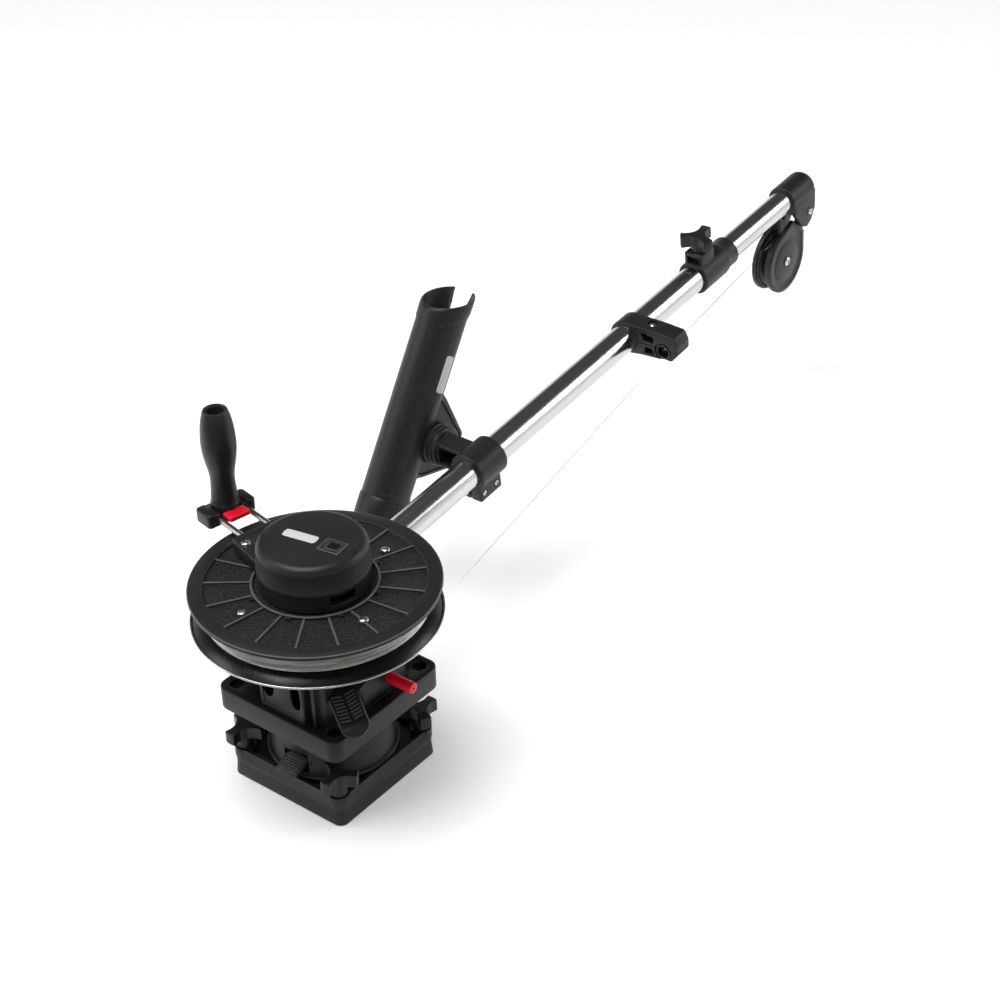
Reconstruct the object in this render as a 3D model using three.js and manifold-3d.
// A manual fishing downrigger: a flat cable spool on a swivel base, with a telescoping boom,
// a pulley block at its tip, a rod holder and a folding crank. Millimetres, +Z up.
// The origin is at the middle of the base's underside, and the boom points along +X.

import * as THREE from 'three';
import { mergeVertices } from 'three/addons/utils/BufferGeometryUtils.js';
import Module from 'manifold-3d';

const wasm = await Module();
wasm.setup();

const degree = Math.PI / 180;
const turn = 2 * Math.PI;

// Clearances and drawing steps
const fit = 0.3; // gap between two pieces that touch or slide
const loose = 0.6; // gap where a finger-tight or swinging piece moves
const overrun = 2; // how far a cutting shape runs past the face it cuts
const weld = 1e-4; // points closer than this are one point
const wide = 32; // sides of a large round
const round = 20; // sides of a middling round
const small = 10; // sides of a fastener

// Base: a lower deck plate and an upper tray, one tapered block in two layers
const baseSide = 139.7;
const baseCorner = 9;
const baseDraft = 4.3 * degree;
const deckHeight = 16;
const baseHeight = 32;
const trayFloor = 23;
const trayRim = 3.2;
const trayBossTop = 28;
const studInset = 10.35;
const studSpread = baseSide / 2 - studInset;
const studRadius = 4.8;
const studBottom = 4;

// Star knobs on the four studs
const knobRadius = 15.8;
const knobWave = 2.6;
const knobLobes = 5;
const knobPlate = 18;
const knobSkirtRadius = 8.4;
const knobSkirtHeight = 5.7;
const knobPadRadius = 10.5;

// Kingpin that the head turns on
const kingRadius = 7;
const kingHeadRadius = 13;
const kingHeadHeight = 6;
const kingNutHeight = 9;
const kingWasherRadius = 15;
const kingWasherHeight = 2.5;

// Swivel drum, between the knobs
const knobClear = 4.25; // room between the drum and each knob's lobes
const drumRadius = studSpread * Math.SQRT2 - knobRadius - knobWave - knobClear;
const drumWall = 5;
const drumFloor = 8;
const drumRimReach = 2;
const drumRimRadius = drumRadius + drumRimReach;
const trayBossInset = 0.5;
const trayBossRadius = drumRadius - trayBossInset;
const drumRimHeight = 2.6;
const drumFlangeThick = 8;

// Lock tab on the drum's near side
const tabWidth = 25;
const tabShift = -8;
const tabReach = 12;
const tabLip = 5;
const tabDrop = 9;
const tabClear = 4.5; // room between the tab and the tray's rim
const tabTopHeight = baseHeight + tabClear + tabDrop + tabLip;
const tabRidges = 6;
const tabRidgeHeight = 1;
const tabPinRadius = 1.8;
const tabPinInset = 5;
const tabPinReach = 3;
const tabSlotHeight = 22;

// Frame plate on top of the drum
const plateOverhang = 5.25;
const plateSide = baseSide + 2 * plateOverhang;
const plateCorner = 12;
const plateBottom = 81.3;
const plateHeight = 23.8;
const plateSkin = 7;
const plateSkirt = 5;
const plateEdge = 1.5;
const plateBoltInset = 14.6;
const plateBoltSpread = plateSide / 2 - plateBoltInset;
const plateSocketRadius = 8;
const plateSocketDepth = 9;
const plateSocketWall = 2.2;
const plateBoltRadius = 3;
const plateBoltHeadRadius = 5.6;
const plateBoltHeadHeight = 4;

// Frame housing: outline in plan, walls and details
const houseBackInset = 5.6;
const houseBack = plateSide / 2 - houseBackInset;
const houseFront = 45;
const houseFaceLeft = 22;
const houseFaceRight = 34;
const housePanelSet = 9;
const housePanelInset = 7;
const houseSideInset = 15.1;
const houseSide = plateSide / 2 - houseSideInset;
const houseSideStart = 18;
const houseHeight = 62;
const houseWall = 4;
const houseRoof = 5;
const houseFoot = 3.5;
const faceRim = 4.5;
const faceSink = 2.5;
const pocketWidth = 12;
const pocketHeight = 38;
const pocketRise = 14;
const panelRib = 3;
const panelRibDepth = 5;
const panelGap = 6.5;
const pedestalRadius = 34;
const pedestalTopRadius = 24;

// Spool axis and spool
const spoolX = -3.2;
const spoolY = 3.4;
const axleRadius = 9.5;
const axleTopRadius = 6;
const axleNutRadius = 14;
const axleNutHeight = 8;
const flangeRadius = 117;
const lowerFlangeTop = 189.6;
const lowerFlangeThick = 3;
const lowerFlangeFlat = 99;
const lowerFlangeDrop = 8.8;
const lowerFlangeBead = 1.1;
const lowerFlangeCurve = 1.7; // power of the fall towards the rim
const lowerFlangeRimShare = 0.8; // thickness at the rim over thickness at the middle
const grooveWidth = 20.8;
const upperFlangeThick = 4.1;
const grooveTop = lowerFlangeTop + grooveWidth;
const upperFlangeTop = grooveTop + upperFlangeThick;
const upperFlangeFloor = 1.6;
const upperBandWidth = 14.5;
const beadRadius = 59.7;
const beadWidth = 2.4;
const beadHeight = 3.4;
const ribCount = 17;
const ribWidth = 2.2;
const ribTurn = 127.6 * degree;
const lugCount = 8;
const lugWidth = 5;
const lugReach = 3.4;
const hubRadius = 16;
const hubWeb = 6;
const drumCoreRadius = 84;
const drumCoreWall = 11;
const flangeScrewSpread = 78;
const flangeScrewTurn = -14.5 * degree;
const flangeScrewCount = 4;
const screwShank = 2.4;
const screwHead = 4.3;
const screwHeadHeight = 2.1;
const screwShoulderShare = 0.72; // where a pan head's dome starts, as a share of its radius
const screwShoulderRise = 0.85; // and of its height

// Wire: the wound bulk, its outer layer and the run to the tip
const wireRadius = 0.6;
const wireCoreRadius = 105.2;
const windingPitch = 1.65;
const windingTurns = 9.5;
const windingSteps = 24;
const wireSides = 6;
const crimpRadius = 1.5;
const crimpLength = 9;
const crimpDrop = 12;

// Crank: hub ring and arm on top of the spool, turned round the spool axis
const crankTurn = 78.5 * degree;
const crankHubRadius = 51;
const crankHubWall = 4;
const crankHubFloor = 4;
const crankHubRise = 17.5; // over the upper flange
const crankHubTop = upperFlangeTop + crankHubRise;
const crankBossRadius = 17;
const crankArmReach = 90;
const crankArmHalf = 29;
const crankArmDrop = 3; // from the hub's top to the arm's
const crankArmTop = crankHubTop - crankArmDrop;
const crankArmTaper = 6;
const crankArmEdge = 1.5;
const notchTurn = -106.5 * degree;
const notchWidth = 27;
const notchHeight = 9.5;
const armScrewReach = 73.7;
const armScrewHalf = 23.8;
const rodHalf = 15.2;
const rodRadius = 3;
const rodDrop = 5.5; // from the arm's top to the rods' middle
const rodHeight = crankArmTop - rodDrop;
const rodInset = 32;
const rodEnd = 153;

// Handle block, latch, spindle and grip
const blockReach = 130;
const blockDepth = 24;
const blockHalf = 27;
const blockHeight = 14.5;
const blockCorner = 4;
const blockEdge = 1.5;
const saddleHalf = 17;
const saddleSink = 2.2;
const latchReach = 13;
const latchHalf = 11;
const latchHeight = 3.8;
const latchRiseShare = 0.4; // how far the latch sits over the rods' middle, in rod radii
const latchTail = 8;
const latchTailHalf = 8;
const latchTailHeight = 2.4;
const latchLip = 1.8;
const spindleRadius = 4;
const spindleHeadRadius = 6.8;
const spindleHeadHeight = 4;
const spindleFoot = 10;
const gripLength = 104;
const gripCollarRadius = 14;
const gripWaistRadius = 11.8;
const gripBulgeRadius = 16.9;
const gripTopRadius = 13.6;
const gripHollowRadius = 8.6;
const gripHollowDepth = 14;
const gripFootShares = [0, 0.06, 0.15, 0.26, 0.36, 0.5, 0.64, 0.8, 0.91, 0.975, 1];
const gripTopShare = 0.12; // fall from the bulge to the top end, in bulge radii
const gripSwellShares = [0.55, 0.55, 0.18, 0, 0.12, 0.66, 1, 0.86, 0.55, 0.2, 0];

// Counter on top of the spool axis
const capBottom = crankHubTop + loose;
const capHeight = 27.4;
const capRadius = 53;
const capTopRadius = 51.6;
const capFillet = 8.5;
const capWall = 2.5;
const capPostRadius = 6;
const windowX = -2.1;
const windowY = -20.5;
const windowTurn = 8.5 * degree;
const windowWidth = 15;
const windowLength = 18;
const windowPane = 1.4;
const windowLedge = 1.4;
const wheelRadius = 9.6;
const wheelWidth = 5;
const wheelGap = 0.5;
const wheelBore = 1.6;
const wheelCount = 3;
const counterFloor = 2;
const counterCheek = 1.6;
const counterCheekHalf = 5;
const counterBossRadius = 10;

// Boom: place, tilt and tubes. Lengths along the boom start over the origin.
const boomY = 48;
const boomZ = 137.8;
const boomTilt = 6.78 * degree;
const boomRadius = 15.875;
const boomWall = 1.3;
const boomNear = 42;
const boomFar = 745;
const plugDepth = 16;
const plugRim = 3;
const sleeveNear = 38;
const sleeveFar = 46;
const sleeveWall = 5.4;

// Inner tube
const innerRadius = 14.25;
const innerWall = 1.2;
const innerNear = 70;
const innerFar = 936;

// Rod holder and its clamp
const clampNear = 287;
const clampWidth = 44.5;
const clampFar = clampNear + clampWidth;
const clampWall = 5.2;
const earHalf = 14;
const earDrop = 16;
const earSplit = 3;
const earScrewRadius = 2.4;
const earScrewHead = 4.2;
const earScrewHeadHeight = 2.2;
const bossInset = 21;
const bossPlace = clampNear + bossInset;
const bossDrop = 7.5;
const bossReach = 60;
const bossRadius = 21.5;
const bossThick = 9.4;
const bossTeeth = 24;
const bossToothDepth = 1.1;
const armHalf = 12.5;
const armDepth = 13.5;
const armWeb = 4.5;
const holderLean = 38.7 * degree;
const holderOffset = 25;
const holderReach = 32;
const holderRadius = 26;
const holderBore = 22;
const holderLow = 82;
const holderHigh = 156;
const holderLipRadius = 28;
const holderLipHeight = 22;
const holderFootRadius = 27.3;
const holderFootHeight = 18;
const holderFloor = 4;
const holderDrain = 7;
const holderSlotWidth = 15;
const holderSlotDepth = 30;
const holderSlotTurn = -17 * degree;
const wingThick = 8;
const wingReach = 52;
const wingHalf = 46;
const wingTip = 9;
const holderBoltRadius = 4;
const holderNutRadius = 8;
const holderNutHeight = 6;

// Line guide clamped on the boom
const guidePlace = 576;
const guideWidth = 29;
const guideRadius = 19.5;
const guideReach = 50;
const guideSplit = 0.6;
const guideWall = 3;
const guideEdge = 1.2;
const guidePocket = 10;
const eyeReach = 48;
const eyeDrop = 8.7;
const eyeRadius = 6.6;
const eyeBore = 4.2;
const eyeLip = 1.2;
const guideScrewReach = 28;
const guideScrewRadius = 2.6;
const guideScrewHead = 4.6;
const guideScrewHeadHeight = 3;
const guideScrewSink = 3.6;

// Telescope lock
const lockNear = 700;
const lockFar = 770;
const lockRadius = 20;
const lockNeckRadius = 17.6;
const lockTaper = 8;
const lockBossPlace = 713.5;
const lockBossLength = 24;
const lockBossWidth = 21;
const lockBossTop = 30.7;
const lockWindowWidth = 10;
const lockWindowHeight = 6;
const lockWindowDepth = 3;
const lockStudRadius = 4;
const lockStudDepth = 11;
const lockKnobHub = 8.2;
const lockKnobHubHeight = 9;
const lockKnobPlate = 10;
const lockKnobRadius = 12.2;
const lockKnobWave = 5.2;
const lockKnobLobes = 3;
const lockKnobEdge = 1.2;

// End cap and pulley block
const capNear = 892;
const capSleeveRadius = 18.5;
const capNose = 964;
// radius, then distance from the nose
const capNoseShares = [[1, 1], [0.92, 0.6], [0.7, 0.28], [0.35, 0.065]];
const pivotPlace = 930.6;
const pivotDrop = 25.5;
const clevisGap = 13.4;
const clevisRoof = 15.6;
const clevisNear = 900;
const clevisLow = 44;
const clevisFar = 950;
const pivotBoltRadius = 3.4;
const pivotHeadRadius = 6.2;
const pivotHeadHeight = 3;
const pulleyLean = 42.8 * degree;
const pulleyDrop = 66.4;
const pulleyRadius = 40;
const pulleyNeck = 9;
const pulleyHalf = 13;
const cheekThick = 6;
const cheekGuard = 1.6;
const cheekGuardRadius = 36.5;
const cheekPlateEdge = 1;
const sheaveRadius = 34.6;
const sheaveGroove = 30;
const sheaveHalf = 6.2;
const sheaveGrooveHalf = 1.9;
const sheaveRim = 1;
const sheaveHub = 9;
const sheaveDish = 2;
const sheaveAxleRadius = 4.8;
const sheaveHeadRadius = 8;
const sheaveHeadHeight = 2.4;

// Lock pin through the housing wall, with its reach along -Y
const pinX = 18;
const pinRise = 13.5;
const pinRadius = 4.9;
const pinReach = 30;
const pinDepth = 26;
const pinTip = houseSide + pinReach;
const pinRoot = houseSide - pinDepth;
const pinHole = 1.3;
const pinHoleDepth = 4;
const pinCollar = 7.2;

// Brake lever: a pad that points past the housing's corner, and its root under the spool
const leverTurn = -141.5 * degree;
const leverTipInset = 6.3;
const leverTipReach = 30.7;
const leverTipX = -(houseBack - leverTipInset);
const leverTipY = -(houseSide + leverTipReach);
const leverTipZ = 116;
const leverPadLength = 50;
const leverPadSlope = 37.3 * degree;
const leverWidth = 28;
const leverThick = 7;
const leverRoot = 26;
const leverRidges = 9;
const leverRidgeStart = 0.7; // plain length before the first ridge, in ridge spacings
const leverRidgeEnd = 0.6; // and beyond the last one
const leverRidgeHeight = 1.1;
const leverGroove = 2.4;
const leverPinRadius = 2.5;
const leverPinReach = 1.4;
const leverLugThick = 4;
const leverLugLength = 10;
const leverLugDrop = 8;

// Materials
function finish(color, roughness, metalness) {
  return new THREE.MeshStandardMaterial({ color, roughness, metalness });
}
const blackPlastic = 0x1d1d1f;
const darkPlastic = 0x141415;
const glossBlack = 0x0c0c0d;
const redPlastic = 0xd4112b;
const bareSteel = 0xc8c8c6;
const clearPane = 0x3a3f44;

// Solids: geometry in, closed geometry out
function signedVolume(points, corners) {
  let sum = 0;
  const [a, b, c] = [new THREE.Vector3(), new THREE.Vector3(), new THREE.Vector3()];
  for (let i = 0; i < corners.length; i += 3) {
    a.fromBufferAttribute(points, corners[i]);
    b.fromBufferAttribute(points, corners[i + 1]);
    c.fromBufferAttribute(points, corners[i + 2]);
    sum += a.dot(b.cross(c));
  }
  return sum;
}

function toSolid(geometry) {
  const bare = new THREE.BufferGeometry();
  bare.setAttribute('position', geometry.getAttribute('position'));
  if (geometry.index) bare.setIndex(geometry.index);
  const merged = mergeVertices(bare, weld);
  const points = merged.getAttribute('position');
  const corners = merged.index.array;
  const kept = [];
  for (let i = 0; i < corners.length; i += 3) {
    const [a, b, c] = corners.slice(i, i + 3);
    if (a !== b && b !== c && c !== a) kept.push(a, b, c);
  }
  if (signedVolume(points, kept) < 0) kept.reverse();
  const vertProperties = Float32Array.from(points.array);
  const triVerts = Uint32Array.from(kept);
  return new wasm.Manifold(new wasm.Mesh({ numProp: 3, vertProperties, triVerts }));
}

function toGeometry(solid) {
  const mesh = solid.getMesh();
  const geometry = new THREE.BufferGeometry();
  geometry.setAttribute('position', new THREE.BufferAttribute(mesh.vertProperties, 3));
  geometry.setIndex(new THREE.BufferAttribute(mesh.triVerts, 1));
  return geometry;
}

function join(...pieces) {
  return toGeometry(pieces.map(toSolid).reduce((sum, piece) => sum.add(piece)));
}

function cut(body, ...tools) {
  return toGeometry(tools.map(toSolid).reduce((rest, tool) => rest.subtract(tool), toSolid(body)));
}

function common(first, second) {
  return toGeometry(toSolid(first).intersect(toSolid(second)));
}

// Shapes
function box(lengthX, lengthY, lengthZ) {
  return new THREE.BoxGeometry(lengthX, lengthY, lengthZ).translate(0, 0, lengthZ / 2);
}

function bar(radius, length, sides = small, topRadius = radius) {
  const geometry = new THREE.CylinderGeometry(topRadius, radius, length, sides);
  return geometry.rotateX(turn / 4).translate(0, 0, length / 2);
}

function revolve(profile, sides = round) {
  const points = profile.map(([r, z]) => new THREE.Vector2(r, z));
  return new THREE.LatheGeometry(points, sides).rotateX(turn / 4);
}

function ring(outer, inner, height, sides = round) {
  return revolve([[inner, 0], [outer, 0], [outer, height], [inner, height], [inner, 0]], sides);
}

function alongX(geometry) {
  return geometry.rotateY(turn / 4);
}

function alongY(geometry) {
  return geometry.rotateX(-turn / 4);
}

function outline(points) {
  return new THREE.Shape(points.map(([x, y]) => new THREE.Vector2(x, y)));
}

function roundedRect(lengthX, lengthY, radius) {
  const [x, y] = [lengthX / 2 - radius, lengthY / 2 - radius];
  const shape = new THREE.Shape();
  shape.absarc(x, y, radius, 0, turn / 4);
  shape.absarc(-x, y, radius, turn / 4, turn / 2);
  shape.absarc(-x, -y, radius, turn / 2, 3 * turn / 4);
  shape.absarc(x, -y, radius, 3 * turn / 4, turn);
  shape.closePath();
  return shape;
}

// Two rounds at (0, 0) and (reach, 0) joined by their outer tangents
function stadium(radius, reach, farRadius = radius) {
  const swing = Math.acos((radius - farRadius) / reach);
  const shape = new THREE.Shape();
  shape.absarc(0, 0, radius, swing, turn - swing);
  shape.absarc(reach, 0, farRadius, -swing, swing);
  shape.closePath();
  return shape;
}

function lobed(radius, wave, lobes, steps) {
  const points = [];
  for (let i = 0; i < steps; i += 1) {
    const angle = i * turn / steps;
    const reach = radius + wave * Math.cos(lobes * angle);
    points.push([reach * Math.cos(angle), reach * Math.sin(angle)]);
  }
  return outline(points);
}

function slab(shape, thickness, edge = 0, curveSegments = 8) {
  const depth = thickness - 2 * edge;
  const options = { depth, curveSegments, bevelEnabled: edge > 0, bevelSegments: 1 };
  const bevel = { bevelThickness: edge, bevelSize: edge, bevelOffset: -edge };
  return new THREE.ExtrudeGeometry(shape, { ...options, ...bevel }).translate(0, 0, edge);
}

// A shape drawn in X and Z, pushed along Y and centred on the XZ plane
function sideSlab(shape, thickness, edge = 0, curveSegments = 8) {
  const geometry = slab(shape, thickness, edge, curveSegments);
  return geometry.translate(0, 0, -thickness / 2).rotateX(turn / 4);
}

// A shape drawn in Y and Z, pushed along X and centred on the YZ plane
function crossSlab(shape, thickness, edge = 0, curveSegments = 8) {
  const geometry = slab(shape, thickness, edge, curveSegments);
  return geometry.translate(0, 0, -thickness / 2).rotateX(turn / 4).rotateZ(turn / 4);
}

// Rings of points with the same count, skinned and closed at both ends
function skin(rings) {
  const count = rings[0].length;
  const points = rings.flat();
  const corners = [];
  for (let r = 0; r + 1 < rings.length; r += 1) {
    for (let i = 0; i < count; i += 1) {
      const next = (i + 1) % count;
      const [a, b] = [r * count + i, r * count + next];
      corners.push(a, b, b + count, a, b + count, a + count);
    }
  }
  const last = (rings.length - 1) * count;
  for (let i = 1; i + 1 < count; i += 1) {
    corners.push(0, i + 1, i, last, last + i, last + i + 1);
  }
  const geometry = new THREE.BufferGeometry();
  geometry.setAttribute('position', new THREE.Float32BufferAttribute(points.flat(), 3));
  geometry.setIndex(corners);
  return geometry;
}

function rectRing(side, radius, height) {
  return roundedRect(side, side, radius).getPoints(4).slice(0, -1).map(({ x, y }) => [x, y, height]);
}

// A polygon moved inward by one wall, corner by corner
function inset(points, wall) {
  return points.map((point, i) => {
    const before = points[(i + points.length - 1) % points.length];
    const after = points[(i + 1) % points.length];
    const first = new THREE.Vector2(point[0] - before[0], point[1] - before[1]).normalize();
    const second = new THREE.Vector2(after[0] - point[0], after[1] - point[1]).normalize();
    const share = wall / (1 + first.dot(second));
    return [
      point[0] - (first.y + second.y) * share,
      point[1] + (first.x + second.x) * share,
    ];
  });
}

// A thin round tube along centre points, with its own closed ends
function sweep(points, radius, sides) {
  const rings = [];
  let normal = null;
  points.forEach((point, i) => {
    const before = points[Math.max(i - 1, 0)];
    const after = points[Math.min(i + 1, points.length - 1)];
    const along = new THREE.Vector3().subVectors(after, before).normalize();
    if (normal === null) normal = new THREE.Vector3(0, 0, 1);
    normal.addScaledVector(along, -normal.dot(along)).normalize();
    const side = new THREE.Vector3().crossVectors(along, normal);
    const loop = [];
    for (let k = 0; k < sides; k += 1) {
      const angle = (k + 1 / 2) * turn / sides;
      const place = point.clone().addScaledVector(normal, radius * Math.cos(angle));
      place.addScaledVector(side, radius * Math.sin(angle));
      loop.push(place.toArray());
    }
    rings.push(loop);
  });
  return skin(rings);
}

function polar(radius, angle, height) {
  return new THREE.Vector3(radius * Math.cos(angle), radius * Math.sin(angle), height);
}

function around(count, start, make) {
  return Array.from({ length: count }, (_, i) => make(start + i * turn / count, i));
}

function corners(spread) {
  return [[-spread, -spread], [spread, -spread], [spread, spread], [-spread, spread]];
}

const root = new THREE.Group();

function add(group, name, geometry, color, roughness = 0.6, metalness = 0) {
  const mesh = new THREE.Mesh(toGeometry(toSolid(geometry)), finish(color, roughness, metalness));
  mesh.name = name;
  group.add(mesh);
  return mesh;
}

// Base block: its side at a height, by the draft of its walls
function sideAt(height) {
  return baseSide - 2 * height * Math.tan(baseDraft);
}

function blockLayer(bottom, top) {
  return skin([rectRing(sideAt(bottom), baseCorner, bottom), rectRing(sideAt(top), baseCorner, top)]);
}

function deckPlate() {
  const tools = corners(studSpread).map(([x, y]) => (
    bar(studRadius + fit, deckHeight).translate(x, y, studBottom - fit)));
  return cut(blockLayer(0, deckHeight), ...tools);
}

function swivelBase() {
  const side = sideAt(baseHeight) - 2 * trayRim;
  const pocket = slab(roundedRect(side, side, baseCorner - trayRim / 2), baseHeight - trayFloor + overrun);
  const boss = bar(trayBossRadius, trayBossTop - trayFloor, wide);
  const pads = corners(studSpread).map(([x, y]) => (
    bar(knobPadRadius, baseHeight, round).translate(x, y, -trayFloor / 2)));
  const tools = [
    cut(pocket, boss, ...pads).translate(0, 0, trayFloor),
    ...corners(studSpread).map(([x, y]) => bar(studRadius + fit, baseHeight).translate(x, y, 0)),
  ];
  return cut(blockLayer(deckHeight, baseHeight), ...tools);
}

const knobBottom = baseHeight + fit;

function starKnob() {
  const plate = slab(lobed(knobRadius, knobWave, knobLobes, 8 * knobLobes), knobPlate, plateEdge);
  const stud = bar(studRadius, knobBottom - studBottom + knobSkirtHeight);
  return join(
    plate.translate(0, 0, knobSkirtHeight),
    bar(knobSkirtRadius, knobSkirtHeight + plateEdge, round),
    stud.translate(0, 0, studBottom - knobBottom),
  );
}

// Drum heights, worked up from the tray
const drumBottom = trayBossTop + fit;
const plateTop = plateBottom + plateHeight;
const drumTop = plateTop - plateSkin - fit;

const tabPinX = -(drumRadius - tabPinInset);
const tabPinZ = tabTopHeight - tabLip / 2;

function kingpin() {
  const seat = drumTop - drumFloor - fit;
  const low = seat - kingHeadHeight;
  const washer = plateTop + fit;
  return join(
    bar(kingHeadRadius, kingHeadHeight, 6).translate(0, 0, low),
    bar(kingRadius, washer + kingWasherHeight + kingNutHeight + plateEdge - low, round).translate(0, 0, low),
    bar(kingWasherRadius, kingWasherHeight, round).translate(0, 0, washer),
    bar(kingHeadRadius, kingNutHeight + weld, 6).translate(0, 0, washer + kingWasherHeight - weld),
  );
}

function swivelDrum() {
  const inner = drumRadius - drumWall;
  const bore = kingRadius + fit;
  const rimTop = drumBottom + drumRimHeight;
  const flangeReach = plateSide / 2 - plateSkirt - 2 * loose;
  const flangeBottom = drumTop - drumFlangeThick;
  const body = revolve([
    [inner, drumBottom], [drumRimRadius, drumBottom], [drumRimRadius, rimTop], [drumRadius, rimTop + fit],
    [drumRadius, flangeBottom], [flangeReach, flangeBottom], [flangeReach, drumTop], [bore, drumTop],
    [bore, drumTop - drumFloor], [inner, drumTop - drumFloor], [inner, drumBottom],
  ], wide);
  const slot = box(drumRadius, tabWidth + 2 * loose, tabSlotHeight);
  slot.translate(-drumRadius, tabShift, tabTopHeight - tabSlotHeight + tabLip + loose);
  const pinReach = tabWidth + 2 * (loose + tabPinReach + fit);
  const pinHole = alongY(bar(tabPinRadius + fit, pinReach, small))
    .translate(tabPinX, tabShift - pinReach / 2, tabPinZ);
  return cut(body, slot, pinHole);
}

// Lock tab: hinged inside the drum wall, its pad sloping out and down. Pin axis along Y.
function lockTab() {
  const [outX, inX] = [-(drumRadius + tabReach), tabPinX - tabPinRadius - tabLip / 2];
  const run = inX - outX;
  const pad = outline([
    [outX, tabTopHeight - tabDrop], [inX, tabTopHeight], [tabPinX, tabTopHeight + tabLip / 2],
    [tabPinX + tabLip, tabTopHeight], [tabPinX + tabLip, tabTopHeight - 2 * tabLip],
    [tabPinX, tabTopHeight - 2 * tabLip], [outX + tabLip / 2, tabTopHeight - tabDrop - tabLip],
    [outX, tabTopHeight - tabDrop - tabLip],
  ]);
  const ridges = Array.from({ length: tabRidges }, (_, i) => {
    const share = (i + 1 / 2) / tabRidges;
    const ridge = box(run / tabRidges / 2, tabWidth - 2 * tabRidgeHeight, 2 * tabRidgeHeight);
    return ridge.rotateY(-Math.atan2(tabDrop, run))
      .translate(outX + run * share, 0, tabTopHeight - tabDrop * (1 - share) - tabRidgeHeight);
  });
  const reach = tabWidth / 2 + loose + tabPinReach;
  const pin = alongY(bar(tabPinRadius, 2 * reach, 12)).translate(tabPinX, -reach, tabPinZ);
  return join(sideSlab(pad, tabWidth), ...ridges, pin).translate(0, tabShift, 0);
}

function framePlate() {
  const inner = plateSide - 2 * plateSkirt;
  const body = slab(roundedRect(plateSide, plateSide, plateCorner), plateHeight, plateEdge, 3);
  const pocketDepth = plateHeight - plateSkin;
  const pocket = slab(roundedRect(inner, inner, plateCorner - plateSkirt), pocketDepth + overrun, 0, 2);
  const seat = plateHeight - plateSocketDepth;
  const pads = corners(plateBoltSpread).map(([x, y]) => (
    bar(plateSocketRadius + plateSocketWall, plateSocketDepth, small)
      .translate(x, y, seat - plateSocketWall)));
  const sockets = corners(plateBoltSpread).map(([x, y]) => (
    bar(plateSocketRadius, 2 * plateSocketDepth, 6).translate(x, y, seat)));
  const heads = corners(plateBoltSpread).map(([x, y]) => (
    cut(
      bar(plateBoltHeadRadius, plateBoltHeadHeight + plateSocketWall, 12),
      bar(plateBoltRadius, plateSocketDepth, 6).translate(0, 0, plateBoltHeadHeight),
    ).translate(x, y, seat - plateSocketWall)));
  const kingHole = bar(kingRadius + fit, 2 * plateHeight, round);
  const shell = cut(body, pocket.translate(0, 0, -overrun), kingHole);
  return join(cut(join(shell, ...pads), ...sockets), ...heads).translate(0, 0, plateBottom);
}

// Boom frame: a group whose X runs along the boom, Y across it and Z square to it
const boomGroup = new THREE.Group();
boomGroup.position.set(0, boomY, boomZ);
boomGroup.rotation.y = -boomTilt;
root.add(boomGroup);

function ontoBoom(geometry) {
  return geometry.clone().rotateY(-boomTilt).translate(0, boomY, boomZ);
}

function boomPoint(place, across, rise) {
  return new THREE.Vector3(place, across, rise)
    .applyAxisAngle(new THREE.Vector3(0, 1, 0), -boomTilt)
    .add(new THREE.Vector3(0, boomY, boomZ));
}

// Heights that hang on the spool
const lowerFlangeBottom = lowerFlangeTop - lowerFlangeThick;
const houseTop = plateTop + houseHeight;
const pedestalTop = lowerFlangeBottom - fit;

function housePlan() {
  return [
    [-houseBack, houseFaceLeft],
    [-houseBack, -houseFaceRight],
    [-houseBack + housePanelSet, -houseFaceRight],
    [-houseBack + housePanelSet, -houseSide + housePanelInset],
    [-houseSideStart, -houseSide],
    [houseFront, -houseSide],
    [houseFront, houseFaceLeft],
  ];
}

// The foot flares only on the long side wall, as a fillet onto the plate
function houseBody() {
  const plan = housePlan();
  const foot = plan.map(([x, y]) => [x, y === -houseSide ? y - houseFoot : y, 0]);
  const neck = plan.map(([x, y]) => [x, y, houseFoot]);
  const top = plan.map(([x, y]) => [x, y, houseHeight]);
  const hollow = slab(outline(inset(plan, houseWall)), houseHeight - houseRoof + overrun);
  return cut(skin([foot, neck, top]), hollow.translate(0, 0, -overrun));
}

function houseFace() {
  const width = houseFaceLeft + houseFaceRight;
  const middle = (houseFaceLeft - houseFaceRight) / 2;
  const sink = box(2 * faceSink, width - 2 * faceRim, houseHeight);
  sink.translate(-houseBack, middle, faceRim);
  const pockets = [1, -1].map((side) => {
    const centre = middle + side * (width / 2 - faceRim - pocketWidth / 2 - fit);
    const shape = stadium(pocketWidth / 2, pocketHeight);
    return crossSlab(shape, 4 * houseWall, 0, 4).rotateX(turn / 4)
      .translate(-houseBack, centre, pocketRise + pocketWidth / 2);
  });
  return [sink, ...pockets];
}

function houseRib() {
  const x = -houseBack + housePanelSet;
  const y = -houseFaceRight - panelGap - panelRib / 2;
  return box(2 * panelRibDepth, panelRib, houseHeight - houseRoof).translate(x, y, 0);
}

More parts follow.
